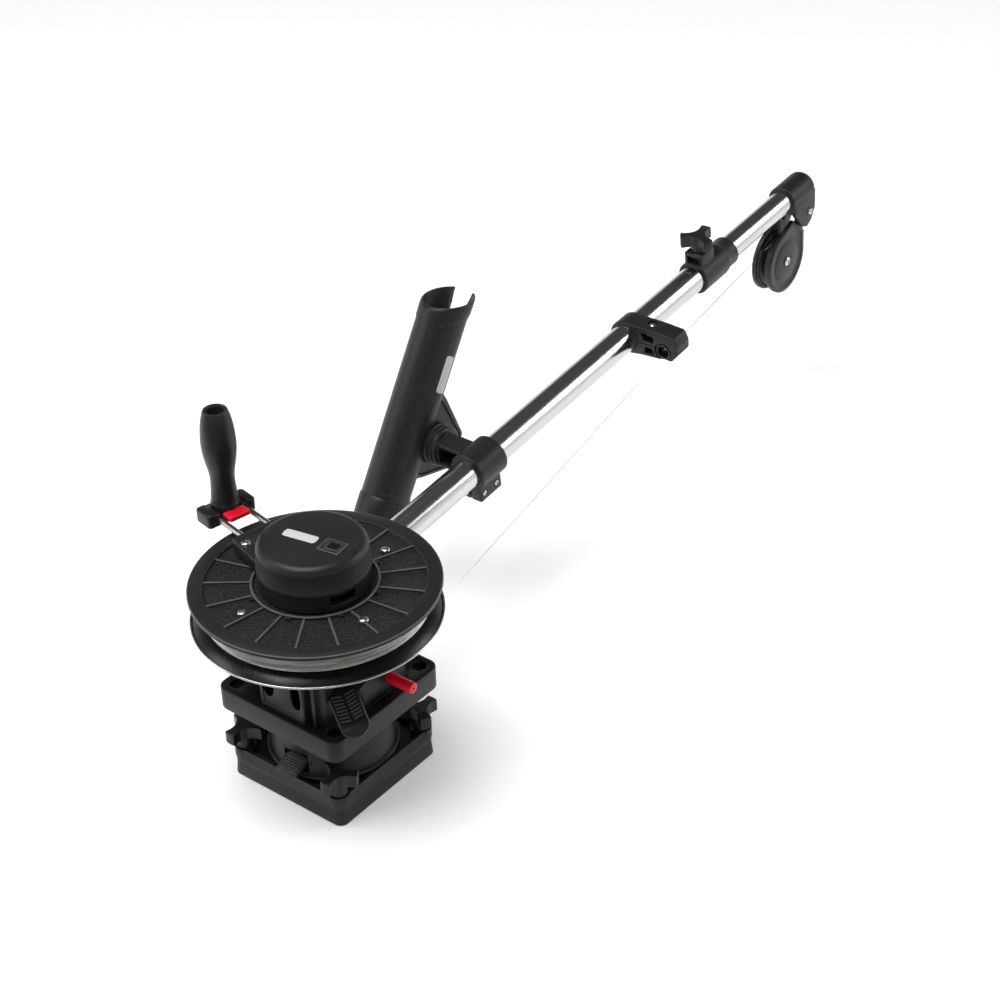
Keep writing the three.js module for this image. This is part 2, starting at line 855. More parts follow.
function frameHousing() {
  const sleeveLength = sleeveNear + sleeveFar;
  const sleeveRadius = boomRadius + fit + sleeveWall;
  const middle = (sleeveFar - sleeveNear) / 2;
  const saddleFrom = houseFaceLeft - houseWall;
  const saddleWidth = boomY + sleeveRadius - saddleFrom;
  const saddle = box(sleeveLength, saddleWidth, boomZ - plateTop + middle * Math.sin(boomTilt));
  saddle.translate(middle, saddleFrom + saddleWidth / 2, 0);
  const pedestal = bar(pedestalRadius, pedestalTop - houseTop + houseRoof, wide, pedestalTopRadius);
  const pedestalLow = houseTop - houseRoof - plateTop;
  const sleeve = alongX(bar(sleeveRadius, sleeveLength, round)).translate(-sleeveNear, 0, 0);
  const bore = alongX(bar(boomRadius + fit, sleeveLength + 4 * sleeveWall, round));
  bore.translate(-sleeveNear - 2 * sleeveWall, 0, 0);
  const body = join(
    houseBody(), saddle, pedestal.translate(spoolX, spoolY, pedestalLow), houseRib(),
    ...leverLugs(),
  );
  const axleHole = bar(axleRadius + fit, pedestalTop, round).translate(spoolX, spoolY, 0);
  const nutRoom = bar(axleNutRadius + loose, houseHeight - houseRoof, small).translate(spoolX, spoolY, 0);
  const pinHoleTool = alongY(bar(pinRadius + fit, pinTip, small)).translate(pinX, -pinTip - overrun, pinRise);
  const carved = cut(body, ...houseFace(), axleHole, nutRoom, pinHoleTool, leverRoom(), leverPinHole());
  const lifted = carved.translate(0, 0, plateTop);
  return cut(join(lifted, ontoBoom(sleeve)), ontoBoom(bore), belowPlate());
}

function belowPlate() {
  return box(2 * plateSide, 2 * plateSide, plateTop);
}

// Lever frame: origin at the pivot, X out along the lever in plan, the pad sloping down
const leverFlat = leverPadLength * Math.cos(leverPadSlope);
const leverRise = leverPadLength * Math.sin(leverPadSlope);
const leverPivot = new THREE.Vector3(leverTipX, leverTipY, leverTipZ + leverRise)
  .addScaledVector(polar(1, leverTurn, 0), -(leverFlat + leverRoot));

function placeLever(geometry) {
  return geometry.rotateZ(leverTurn).translate(...leverPivot.toArray());
}

function leverRoom() {
  const room = box(2 * leverRoot + leverWidth, leverWidth + 4 * loose, houseHeight);
  const floor = -leverThick - leverPinRadius - 3 * loose;
  return placeLever(room.translate(leverRoot + leverWidth / 2 - leverThick, 0, floor))
    .translate(0, 0, -plateTop);
}

function leverLugs() {
  const low = leverPivot.z - leverLugDrop - plateTop;
  return [1, -1].map((hand) => {
    const lug = box(leverLugLength, leverLugThick, houseHeight - houseRoof / 2 - low);
    const side = hand * (leverWidth / 2 + 2 * loose + leverLugThick / 2);
    return lug.rotateZ(leverTurn).translate(
      leverPivot.x - side * Math.sin(leverTurn), leverPivot.y + side * Math.cos(leverTurn), low);
  });
}

function leverPinHole() {
  const reach = leverWidth + leverLugThick + 4 * loose;
  const hole = alongY(bar(leverPinRadius + fit, reach, small)).translate(0, -reach / 2, 0);
  return placeLever(hole).translate(0, 0, -plateTop);
}

function brakeLever() {
  const tip = leverRoot + leverFlat;
  const half = leverThick / 2;
  const [sinSlope, cosSlope] = [Math.sin(leverPadSlope), Math.cos(leverPadSlope)];
  const side = outline([
    [-leverThick, -half], [leverRoot, -half],
    [tip - half * sinSlope, -leverRise - half * cosSlope],
    [tip + half * sinSlope, -leverRise + half * cosSlope],
    [leverRoot + leverThick * sinSlope, half], [-leverThick, half],
  ]);
  const arm = sideSlab(side, leverWidth);
  const ridges = Array.from({ length: leverRidges }, (_, i) => {
    const share = (i + leverRidgeStart) / (leverRidges + leverRidgeEnd);
    const length = leverWidth / 2 - 2 * leverRidgeHeight - leverGroove / 2;
    return [1, -1].map((hand) => {
      const ridge = box(leverPadLength / leverRidges / 2, length, 2 * leverRidgeHeight);
      const x = leverRoot + leverFlat * share + half * sinSlope;
      const z = -leverRise * share + half * cosSlope - leverRidgeHeight;
      return ridge
        .translate(0, hand * (length + leverGroove) / 2, 0)
        .rotateY(leverPadSlope)
        .translate(x, 0, z);
    });
  });
  const trimmed = common(join(arm, ...ridges.flat()), leverPlan(tip));
  const reach = leverWidth / 2 + 2 * loose + leverPinReach;
  const pin = alongY(bar(leverPinRadius, 2 * reach, 12)).translate(0, -reach, 0);
  return placeLever(join(trimmed, pin));
}

// The lever's outline in plan: round at the tip
function leverPlan(tip) {
  const width = leverWidth / 2;
  const plan = slab(stadium(width, tip - width + leverThick), 4 * leverRise, 0, 12);
  return plan.translate(0, 0, -2 * leverRise - leverThick);
}

function spoolAxle() {
  const nutSeat = houseTop - houseRoof - fit;
  const low = nutSeat - axleNutHeight - axleNutHeight / 4;
  const shoulder = crankHubTop - crankHubFloor;
  const top = capBottom + capHeight - capWall - fit - axleTopRadius;
  const shaft = revolve([
    [0, low], [axleRadius, low], [axleRadius, shoulder], [axleTopRadius, shoulder + fit],
    [axleTopRadius, top], [0, top],
  ], round);
  const nut = bar(axleNutRadius, axleNutHeight, 6).translate(0, 0, nutSeat - axleNutHeight);
  return join(shaft, nut).translate(spoolX, spoolY, 0);
}

function lockPin() {
  const body = cut(
    join(
      alongY(bar(pinRadius, pinTip - pinRoot, small)),
      alongY(bar(pinCollar, pinCollar / 2, small)).translate(0, pinTip - pinRoot - pinCollar / 2, 0),
    ),
    alongY(bar(pinHole, pinHoleDepth + overrun, 8)).translate(0, -overrun, 0),
  );
  return body.translate(pinX, -pinTip, plateTop + pinRise);
}

// Spool pieces, turned round the spool axis
function lowerFlange() {
  const steps = 3;
  const edge = flangeRadius + lowerFlangeBead / 2;
  const bore = axleRadius + loose;
  const dish = Array.from({ length: steps + 1 }, (_, i) => {
    const share = i / steps;
    const drop = lowerFlangeDrop * share ** lowerFlangeCurve;
    return [lowerFlangeFlat + (edge - 2 * lowerFlangeBead - lowerFlangeFlat) * share, lowerFlangeTop - drop];
  });
  const rim = lowerFlangeTop - lowerFlangeDrop;
  const under = dish.slice().reverse().map(([r, z], i) => (i === 0
    ? [r, z - lowerFlangeThick * lowerFlangeRimShare]
    : [r - lowerFlangeThick / 2, z - lowerFlangeThick]));
  return revolve([
    [bore, lowerFlangeBottom], [bore, lowerFlangeTop], ...dish,
    [edge - lowerFlangeBead, rim + lowerFlangeBead], [edge, rim + lowerFlangeBead / 2],
    [edge, rim - lowerFlangeBead], ...under, [bore, lowerFlangeBottom],
  ], wide);
}

function upperFlange() {
  const floor = upperFlangeFloor;
  const inner = flangeRadius - upperBandWidth;
  const bore = axleRadius + loose;
  const edge = upperFlangeThick / 4;
  const body = revolve([
    [bore, 0], [flangeRadius - edge, 0], [flangeRadius, edge], [flangeRadius, upperFlangeThick - edge],
    [flangeRadius - edge, upperFlangeThick], [inner, upperFlangeThick], [inner - edge, floor],
    [beadRadius + edge / 2, floor], [beadRadius, floor + beadHeight],
    [beadRadius - beadWidth, floor + beadHeight], [beadRadius - beadWidth, floor],
    [bore, floor], [bore, 0],
  ], wide);
  const ribLength = inner - beadRadius;
  const ribs = around(ribCount, ribTurn, (angle) => (
    box(ribLength, ribWidth, upperFlangeThick - edge / 2)
      .translate(beadRadius + ribLength / 2, 0, 0).rotateZ(angle)));
  const lugs = around(lugCount, ribTurn / 2, (angle) => (
    box(2 * lugReach, lugWidth, floor + beadHeight - edge / 2).translate(beadRadius, 0, 0).rotateZ(angle)));
  const screws = flangeScrewHoles(upperFlangeThick);
  const pads = around(flangeScrewCount, flangeScrewTurn, (angle) => (
    bar(screwHead + edge, upperFlangeThick - edge).translate(flangeScrewSpread, 0, 0).rotateZ(angle)));
  const seats = around(flangeScrewCount, flangeScrewTurn, (angle) => (
    bar(screwHead + 2 * fit, upperFlangeThick).translate(flangeScrewSpread, 0, upperFlangeThick - edge)
      .rotateZ(angle)));
  return cut(join(body, ...ribs, ...lugs, ...pads), ...screws, ...seats).translate(0, 0, grooveTop);
}

function flangeScrewHoles(length) {
  return around(flangeScrewCount, flangeScrewTurn, (angle) => (
    bar(screwShank + fit, length + 2 * overrun, 12)
      .translate(flangeScrewSpread, 0, -overrun)
      .rotateZ(angle)));
}

function spoolHub() {
  const bore = axleRadius + fit;
  const wall = drumCoreRadius - drumCoreWall;
  const middle = grooveWidth / 2;
  const low = fit;
  const high = grooveWidth - fit;
  const body = revolve([
    [bore, low], [hubRadius, low], [hubRadius, middle - hubWeb / 2], [wall, middle - hubWeb / 2],
    [wall, low], [drumCoreRadius, low], [drumCoreRadius, high], [wall, high],
    [wall, middle + hubWeb / 2], [hubRadius, middle + hubWeb / 2],
    [hubRadius, high], [bore, high], [bore, low],
  ], wide);
  const holes = around(flangeScrewCount, flangeScrewTurn, (angle) => (
    bar(screwShank + fit, grooveWidth + overrun, 12)
      .translate(flangeScrewSpread, 0, grooveWidth / 2).rotateZ(angle)));
  return cut(body, ...holes).translate(0, 0, lowerFlangeTop);
}

function panScrew(shank, head, headHeight, length) {
  const profile = [
    [0, -length], [shank, -length], [shank, 0], [head, 0], [head, headHeight / 3],
    [head * screwShoulderShare, headHeight * screwShoulderRise], [0, headHeight],
  ];
  return revolve(profile, 12);
}

function flangeScrews() {
  const seat = grooveTop + upperFlangeThick - upperFlangeThick / 4 + fit / 3;
  const length = upperFlangeThick + grooveWidth / 3;
  return around(flangeScrewCount, flangeScrewTurn, (angle) => (
    panScrew(screwShank, screwHead, screwHeadHeight, length)
      .translate(flangeScrewSpread, 0, seat).rotateZ(angle)));
}

// Wire route: the guide's eye, the winding's exit and the sheave's top, in the part's frame
const eyePoint = boomPoint(guidePlace, -eyeReach, -eyeDrop);
const spoolAxis = new THREE.Vector3(spoolX, spoolY, 0);
const windingRadius = wireCoreRadius + fit / 1.5 + wireRadius;
const windingTop = grooveTop - wireRadius - fit;
const windingExit = windingTop - windingTurns * windingPitch;
const eyeBearing = Math.atan2(eyePoint.y - spoolY, eyePoint.x - spoolX);
const eyeSpan = Math.hypot(eyePoint.x - spoolX, eyePoint.y - spoolY);
const exitTurn = eyeBearing - Math.acos(windingRadius / eyeSpan);
const exitPoint = polar(windingRadius, exitTurn, windingExit).add(spoolAxis);

const pulleyPivot = boomPoint(pivotPlace, 0, -pivotDrop);
const sheaveAxis = boomPoint(
  pivotPlace - pulleyDrop * Math.sin(pulleyLean), 0, -pivotDrop - pulleyDrop * Math.cos(pulleyLean));
const wrapRadius = sheaveGroove + wireRadius + fit;
const eyeToAxis = Math.hypot(sheaveAxis.x - eyePoint.x, sheaveAxis.z - eyePoint.z);
const eyeSlope = Math.atan2(sheaveAxis.z - eyePoint.z, sheaveAxis.x - eyePoint.x);
const wrapStart = eyeSlope + turn / 2 - Math.acos(wrapRadius / eyeToAxis);

function wrapPoint(angle) {
  return new THREE.Vector3(
    sheaveAxis.x + wrapRadius * Math.cos(angle), sheaveAxis.y, sheaveAxis.z + wrapRadius * Math.sin(angle));
}

const sheaveTop = wrapPoint(wrapStart);
const joinShare = 0.84;
const joinPoint = eyePoint.clone().lerp(sheaveTop, joinShare);

function windingPoints() {
  const points = [];
  const steps = Math.round(windingTurns * windingSteps);
  for (let i = 0; i <= steps; i += 1) {
    const left = (steps - i) / windingSteps;
    points.push(polar(windingRadius, exitTurn - left * turn, windingExit + left * windingPitch));
  }
  const startTangent = new THREE.Vector3().subVectors(points[0], points[1]).setZ(0).normalize();
  points.unshift(points[0].clone().addScaledVector(startTangent, 2 * wireRadius));
  const endTangent = eyePoint.clone().sub(exitPoint).normalize();
  points.push(points[points.length - 1].clone().addScaledVector(endTangent, 2 * wireRadius));
  return points;
}

function leastGap(points, apart) {
  let least = Infinity;
  for (let i = 0; i < points.length; i += 1) {
    for (let j = i + apart; j < points.length; j += 1) {
      least = Math.min(least, points[i].distanceTo(points[j]));
    }
  }
  return least - 2 * wireRadius;
}

function wireWinding() {
  const points = windingPoints();
  const gap = leastGap(points, windingSteps / 2);
  console.log(`wire winding: least gap between turns ${gap.toFixed(2)} mm`);
  return sweep(points, wireRadius, wireSides);
}

function wireCore() {
  const height = grooveWidth - 2 * fit;
  const bore = (drumCoreRadius + fit) / Math.cos(turn / 2 / windingSteps);
  return ring(wireCoreRadius, bore, height, windingSteps)
    .rotateZ(exitTurn - turn / 4).translate(0, 0, lowerFlangeTop + fit);
}

function straightWire(from, to, trimFrom, trimTo) {
  const along = to.clone().sub(from).normalize();
  const start = from.clone().addScaledVector(along, trimFrom);
  const end = to.clone().addScaledVector(along, -trimTo);
  return sweep([start, end], wireRadius, wireSides);
}

function wireTail() {
  const points = [joinPoint.clone().addScaledVector(sheaveTop.clone().sub(joinPoint).normalize(), fit)];
  const steps = 8;
  for (let i = 0; i <= steps; i += 1) points.push(wrapPoint(wrapStart * (1 - i / steps)));
  const last = points[points.length - 1];
  points.push(last.clone().setZ(last.z - crimpDrop));
  const wire = sweep(points, wireRadius, wireSides);
  const crimp = bar(crimpRadius, crimpLength, 8)
    .translate(last.x, last.y, last.z - crimpDrop - crimpLength / 2);
  return join(wire, crimp);
}

// Crank pieces, in a group turned to the arm's direction
function crankHub() {
  const bottom = grooveTop + upperFlangeFloor + loose + beadHeight / 4;
  const height = crankHubTop - bottom;
  const wall = crankHubRadius - crankHubWall;
  const bore = axleRadius + fit;
  const hub = revolve([
    [bore, 0], [crankHubRadius, 0], [crankHubRadius, height], [wall, height], [wall, crankHubFloor],
    [crankBossRadius, crankHubFloor], [crankBossRadius, height - 2 * crankHubFloor],
    [bore, height - 2 * crankHubFloor], [bore, 0],
  ], wide);
  const armBottom = grooveTop + upperFlangeFloor + beadHeight + loose;
  const armThick = crankArmTop - armBottom;
  const start = wall;
  const half = crankArmHalf;
  const plan = outline([
    [start - crankHubWall, -half - crankArmTaper], [crankArmReach, -half], [crankArmReach, half],
    [start - crankHubWall, half + crankArmTaper],
  ]);
  const clear = bar(wall + crankHubWall / 2, 3 * armThick, wide).translate(0, 0, -armThick);
  const arm = cut(slab(plan, armThick, crankArmEdge), clear).translate(0, 0, armBottom - bottom);
  const notch = box(4 * crankHubWall, notchWidth, notchHeight)
    .translate(crankHubRadius, 0, crankHubFloor + 2 * loose).rotateZ(notchTurn - crankTurn);
  const bores = [1, -1].map((hand) => alongX(bar(rodRadius + fit, rodInset + overrun))
    .translate(crankArmReach - rodInset, hand * rodHalf, rodHeight - bottom));
  const holes = [1, -1].map((hand) => bar(screwShank + fit, armThick + overrun, 12)
    .translate(armScrewReach, hand * armScrewHalf, armBottom - bottom + crankHubFloor));
  return cut(join(hub, arm), notch, ...bores, ...holes).translate(0, 0, bottom);
}

function crankScrews() {
  return [1, -1].map((hand) => (
    panScrew(screwShank, screwHead, screwHeadHeight, crankHubFloor + crankArmEdge)
      .translate(armScrewReach, hand * armScrewHalf, crankArmTop + fit / 3)));
}

function crankRods() {
  const start = crankArmReach - rodInset + fit;
  return [1, -1].map((hand) => (
    alongX(bar(rodRadius, rodEnd - start)).translate(start, hand * rodHalf, rodHeight)));
}

const blockBottom = rodHeight - blockHeight / 2;
const blockTop = rodHeight + blockHeight / 2;
const blockMiddle = blockReach + blockDepth / 2;
const collarSeat = blockTop - saddleSink;

function handleBlock() {
  const body = slab(roundedRect(blockDepth, 2 * blockHalf, blockCorner), blockHeight, blockEdge, 3);
  const saddle = box(2 * blockDepth, 2 * saddleHalf, 2 * saddleSink)
    .translate(0, 0, blockHeight - saddleSink);
  const bores = [1, -1].map((hand) => alongX(bar(rodRadius + fit, 2 * blockDepth))
    .translate(-blockDepth, hand * rodHalf, blockHeight / 2));
  const spindleHole = bar(spindleRadius + fit, blockHeight, small)
    .translate(0, 0, collarSeat - blockBottom - spindleFoot);
  const tailRoom = box(2 * (latchTail + 3 * loose), 2 * (latchTailHalf + loose), latchTailHeight + 2 * loose)
    .translate(-blockDepth / 2, 0, latchBottom - blockBottom - loose);
  return cut(body, saddle, ...bores, spindleHole, tailRoom).translate(blockMiddle, 0, blockBottom);
}

const latchBottom = rodHeight + latchRiseShare * rodRadius;

function handleLatch() {
  const pad = slab(roundedRect(latchReach, 2 * latchHalf, 2 * latchLip), latchHeight, latchLip / 3, 3);
  pad.translate(blockReach - loose - latchReach / 2, 0, latchBottom);
  const tail = box(latchTail + loose + latchLip, 2 * latchTailHalf, latchTailHeight)
    .translate(blockReach + (latchTail - loose - latchLip) / 2, 0, latchBottom);
  const grooves = [1, -1].map((hand) => alongX(bar(rodRadius + loose, 2 * latchReach))
    .translate(blockReach - 2 * latchReach, hand * rodHalf, rodHeight));
  return cut(join(pad, tail), ...grooves);
}

function handleSpindle() {
  const low = collarSeat - spindleFoot + fit;
  const neck = collarSeat + gripLength - gripHollowDepth + fit;
  return join(
    bar(spindleRadius, neck - low, small).translate(0, 0, low),
    bar(spindleHeadRadius, spindleHeadHeight, 6).translate(0, 0, neck),
  ).translate(blockMiddle, 0, 0);
}

function handleGrip() {
  const skinProfile = gripFootShares.map((share, i) => {
    const collar = share < gripFootShares[3];
    const widest = collar ? gripCollarRadius : gripBulgeRadius;
    const topLeast = gripTopRadius - gripBulgeRadius * gripTopShare;
    const least = share > gripFootShares[7] ? topLeast : gripWaistRadius;
    const swell = gripSwellShares[i] / (collar ? gripSwellShares[0] : 1);
    return [least + (widest - least) * swell, share * gripLength];
  });
  const bore = spindleRadius + fit;
  const shelf = gripLength - gripHollowDepth;
  return revolve([
    [bore, 0], ...skinProfile, [gripHollowRadius, gripLength], [gripHollowRadius, shelf],
    [bore, shelf], [bore, 0],
  ], round).translate(blockMiddle, 0, collarSeat + fit);
}

// Counter pieces, fixed to the axle
const capTop = capBottom + capHeight;

function windowTool(width, length, height) {
  return box(width, length, height).rotateZ(windowTurn).translate(windowX - spoolX, windowY - spoolY, 0);
}

function counterCap() {
  const outer = [];
  const steps = 4;
  for (let i = 0; i <= steps; i += 1) {
    const angle = i / steps * turn / 4;
    const x = capTopRadius - capFillet * (1 - Math.cos(angle));
    const z = capHeight - capFillet * (1 - Math.sin(angle));
    outer.push([x, z]);
  }
  const inner = outer.slice().reverse().map(([r, z]) => [r - capWall, z - capWall]);
  const roof = capHeight - capWall;
  const post = roof - capPostRadius;
  const shell = revolve([
    [capRadius, 0], ...outer, [0, capHeight], [0, post], [capPostRadius, post], [capPostRadius, roof],
    ...inner, [capRadius - capWall, 0], [capRadius, 0],
  ], wide);
  const openingTool = windowTool(windowWidth, windowLength, 2 * capWall).translate(0, 0, roof - overrun / 2);
  const seat = windowTool(windowWidth + 2 * windowLedge, windowLength + 2 * windowLedge, capWall)
    .translate(0, 0, capHeight - windowPane);
  return cut(shell, openingTool, seat).translate(0, 0, capBottom);
}

function counterWindow() {
  const width = windowWidth + 2 * windowLedge - 2 * fit;
  const length = windowLength + 2 * windowLedge - 2 * fit;
  return windowTool(width, length, windowPane - fit).translate(0, 0, capTop - windowPane + fit / 2);
}

const wheelAxisZ = capTop - capWall - loose - wheelRadius;
const wheelSpan = wheelCount * wheelWidth + (wheelCount - 1) * wheelGap;

// Counter frame: origin at the window's centre, turned with it
function placeCounter(geometry) {
  return geometry.rotateZ(windowTurn).translate(windowX - spoolX, windowY - spoolY, 0);
}

function counterFrame() {
  const floorZ = wheelAxisZ - wheelRadius - loose - counterFloor;
  const reach = wheelSpan / 2 + loose + counterCheek;
  const cheeks = [1, -1].map((hand) => {
    const height = wheelAxisZ - floorZ + counterCheekHalf;
    return box(2 * counterCheekHalf, counterCheek, height)
      .translate(0, hand * (reach - counterCheek / 2), floorZ);
  });
  const floor = box(2 * counterCheekHalf, 2 * reach, counterFloor).translate(0, 0, floorZ);
  const boss = ring(counterBossRadius, axleTopRadius + fit, 2 * counterFloor, round);
  const arm = cut(
    box(2 * counterCheekHalf, 2 * reach, counterFloor).translate(0, reach, floorZ),
    bar(axleTopRadius + fit, capHeight, round)
      .translate(spoolX - windowX, spoolY - windowY, floorZ - overrun),
  );
  const pin = alongY(bar(wheelBore, 2 * reach, 12)).translate(0, -reach, wheelAxisZ);
  const body = placeCounter(join(floor, arm, ...cheeks, pin));
  const hole = bar(axleTopRadius + fit, capHeight, round).translate(0, 0, floorZ - overrun);
  return cut(join(body, boss.translate(0, 0, floorZ)), hole);
}

function counterWheel(index) {
  const body = cut(
    bar(wheelRadius, wheelWidth, round),
    bar(wheelBore + fit, wheelWidth + 2 * overrun, 12).translate(0, 0, -overrun),
  );
  const start = -wheelSpan / 2 + index * (wheelWidth + wheelGap);
  return placeCounter(alongY(body).translate(0, start, wheelAxisZ));
}

// Boom pieces, in the boom frame
function tube(radius, wall, from, to) {
  return alongX(ring(radius, radius - wall, to - from, round)).translate(from, 0, 0);
}

function boomPlug() {
  const insert = boomRadius - boomWall - fit;
  const body = join(
    bar(boomRadius, plugRim, round).translate(0, 0, -plugRim - fit),
    bar(insert, plugDepth + plugRim, round).translate(0, 0, -plugRim),
  );
  return alongX(body).translate(-boomNear, 0, 0);
}

// Holder clamp: a split ring with ears below and an arm to a toothed boss
function toothedFace(radius, teeth, depth) {
  const points = [];
  for (let i = 0; i < 2 * teeth; i += 1) {
    const angle = i * turn / (2 * teeth);
    const reach = i % 2 === 0 ? radius : radius - depth;
    points.push([reach * Math.cos(angle), reach * Math.sin(angle)]);
  }
  return outline(points);
}

function holderClamp() {
  const outer = boomRadius + fit + clampWall;
  const width = clampFar - clampNear;
  const middle = (clampFar + clampNear) / 2;
  const band = alongX(bar(outer, width, round)).translate(clampNear, 0, 0);
  const ears = box(width, 2 * earHalf, outer + earDrop).translate(middle, 0, -outer - earDrop);
  const face = bossReach - fit / 2;
  const boss = alongY(slab(toothedFace(bossRadius, bossTeeth, bossToothDepth), bossThick));
  boss.translate(bossPlace, face - bossThick, -bossDrop);
  const armLength = face - bossThick / 2;
  const arm = box(2 * armHalf, armLength, 2 * armDepth)
    .translate(bossPlace, armLength / 2, -bossDrop - armDepth);
  const pocketLength = armLength - bossThick - outer;
  const pocket = box(2 * armHalf, pocketLength, 2 * armDepth - 2 * armWeb)
    .translate(bossPlace - armWeb, outer + (pocketLength + armWeb) / 2, -bossDrop - armDepth + armWeb);
  const bore = alongX(bar(boomRadius + fit, 2 * width, round)).translate(clampNear - width / 2, 0, 0);
  const split = box(2 * width, earSplit, 2 * outer + earDrop).translate(middle, 0, -2 * outer - earDrop);
  const boltHole = alongY(bar(holderBoltRadius + fit, bossThick + armWeb, small));
  boltHole.translate(bossPlace, face - bossThick - armWeb + overrun, -bossDrop);
  const screwHole = alongY(bar(earScrewRadius + fit, 4 * earHalf, 12))
    .translate(middle, -2 * earHalf, -outer - earDrop / 2);
  return cut(join(band, ears, boss, arm), pocket, bore, split, boltHole, screwHole);
}

function clampScrew() {
  const outer = boomRadius + fit + clampWall;
  const length = 2 * (earHalf + fit) + earScrewHeadHeight;
  const screw = panScrew(earScrewRadius, earScrewHead, earScrewHeadHeight, length).rotateX(turn / 4);
  const nut = alongY(bar(earScrewHead, earScrewHeadHeight, 6)).translate(0, earHalf + fit, 0);
  return join(screw.translate(0, -earHalf - fit, 0), nut)
    .translate((clampFar + clampNear) / 2, 0, -outer - earDrop / 2);
}

// Rod holder: Z along the tube, Y along the boss
const holderGroup = new THREE.Group();
holderGroup.position.set(bossPlace, bossReach, -bossDrop);
holderGroup.rotation.y = holderLean;
boomGroup.add(holderGroup);

function holderTube() {
  const outer = revolve([
    [0, -holderLow], [holderFootRadius, -holderLow], [holderFootRadius, -holderLow + holderFootHeight - fit],
    [holderRadius, -holderLow + holderFootHeight], [holderRadius, holderHigh - holderLipHeight - fit],
    [holderLipRadius, holderHigh - holderLipHeight], [holderLipRadius, holderHigh], [0, holderHigh],
  ], round).translate(-holderOffset, holderReach, 0);
  const bore = revolve([
    [0, -holderLow + holderFloor], [holderBore, -holderLow + holderFloor],
    [holderBore, holderHigh - holderLipHeight / 2], [holderLipRadius - holderFloor / 2, holderHigh + overrun],
    [0, holderHigh + overrun],
  ], round).translate(-holderOffset, holderReach, 0);
  const drain = bar(holderDrain, 2 * holderFloor, small)
    .translate(-holderOffset, holderReach, -holderLow - holderFloor / 2);
  const slot = box(2 * holderLipRadius, holderSlotWidth, holderSlotDepth + overrun)
    .translate(holderLipRadius, 0, holderHigh - holderSlotDepth).rotateZ(holderSlotTurn)
    .translate(-holderOffset, holderReach, 0);
  const disc = alongY(slab(toothedFace(bossRadius, bossTeeth, bossToothDepth), bossThick))
    .translate(0, fit / 2, 0);
  const wingPlan = new THREE.Shape();
  wingPlan.moveTo(-holderOffset, -wingHalf);
  wingPlan.lineTo(0, -wingHalf);
  wingPlan.absarc(wingReach - holderOffset - wingTip, 0, wingTip, -turn / 8, turn / 8);
  wingPlan.lineTo(0, wingHalf + wingTip);
  wingPlan.lineTo(-holderOffset, wingHalf + wingTip);
  const wing = sideSlab(wingPlan, wingThick).translate(0, bossThick + wingThick / 2 - fit, 0);
  const boltHole = alongY(bar(holderBoltRadius + fit, 2 * bossThick + wingThick, small))
    .translate(0, -overrun, 0);
  const nutReach = bossThick + wingThick - fit;
  const nutRoom = alongY(bar(holderNutRadius + loose, holderReach, small)).translate(0, nutReach, 0);
  return cut(join(outer, disc, wing), bore, drain, slot, boltHole, nutRoom);
}

function holderBolt() {
  const start = bossThick - armWeb;
  const seat = bossThick + wingThick;
  const body = join(
    alongY(bar(holderBoltRadius, start + seat + fit, small)).translate(0, -start, 0),
    alongY(bar(holderNutRadius, holderNutHeight, 6)).translate(0, seat, 0),
  );
  return body.translate(bossPlace, bossReach, -bossDrop);
}

// Line guide: drawn across the boom, in two halves
function guideBody() {
  const shape = stadium(guideRadius, guideReach);
  return crossSlab(shape, guideWidth, guideEdge, 6).rotateX(turn / 2).translate(guidePlace, 0, 0);
}

function guideTools() {
  const bore = alongX(bar(boomRadius + fit, 2 * guideWidth, round)).translate(guidePlace - guideWidth, 0, 0);
  const eye = alongX(bar(eyeRadius + fit, 2 * guideWidth, small))
    .translate(guidePlace - guideWidth, -eyeReach, -eyeDrop);
  const shank = bar(guideScrewRadius + fit, 4 * guideRadius, 12)
    .translate(guidePlace, -guideScrewReach, -2 * guideRadius);
  const recess = bar(guideScrewHead + loose, guideRadius, small)
    .translate(guidePlace, -guideScrewReach, guideRadius - guideScrewSink);
  return [bore, eye, shank, recess];
}

function guidePockets() {
  const height = guideRadius - guideSplit - 2 * guideWall;
  const span = guideReach - boomRadius - eyeRadius - 4 * guideWall;
  const from = boomRadius + 2 * guideWall;
  const width = span / 2 - guideWall / 2;
  return [0, 1].flatMap((column) => [1, -1].flatMap((level) => [1, -1].map((hand) => {
    const pocket = box(guidePocket, width, height);
    const y = -(from + width / 2 + column * (width + guideWall));
    const z = level > 0 ? guideSplit + guideWall : -guideSplit - guideWall - height;
    return pocket.translate(guidePlace + hand * guideWidth / 2, y, z);
  })));
}

function guideHalf(hand) {
  const keep = box(2 * guideWidth, 4 * guideReach, 2 * guideRadius)
    .translate(guidePlace, 0, hand > 0 ? guideSplit : -guideSplit - 2 * guideRadius);
  return cut(common(guideBody(), keep), ...guideTools(), ...guidePockets());
}

function guideEye() {
  const length = guideWidth + 2 * eyeLip;
  const body = revolve([
    [eyeBore, eyeLip], [eyeBore + eyeLip, 0], [eyeRadius, 0], [eyeRadius, length],
    [eyeBore + eyeLip, length], [eyeBore, length - eyeLip], [eyeBore, eyeLip],
  ], small);
  return alongX(body).translate(guidePlace - length / 2, -eyeReach, -eyeDrop);
}

function guideScrew() {
  const seat = guideRadius - guideScrewSink + fit / 3;
  const depth = seat + guideRadius - guideWall;
  const screw = panScrew(guideScrewRadius, guideScrewHead, guideScrewHeadHeight, depth);
  return screw.translate(guidePlace, -guideScrewReach, seat);
}

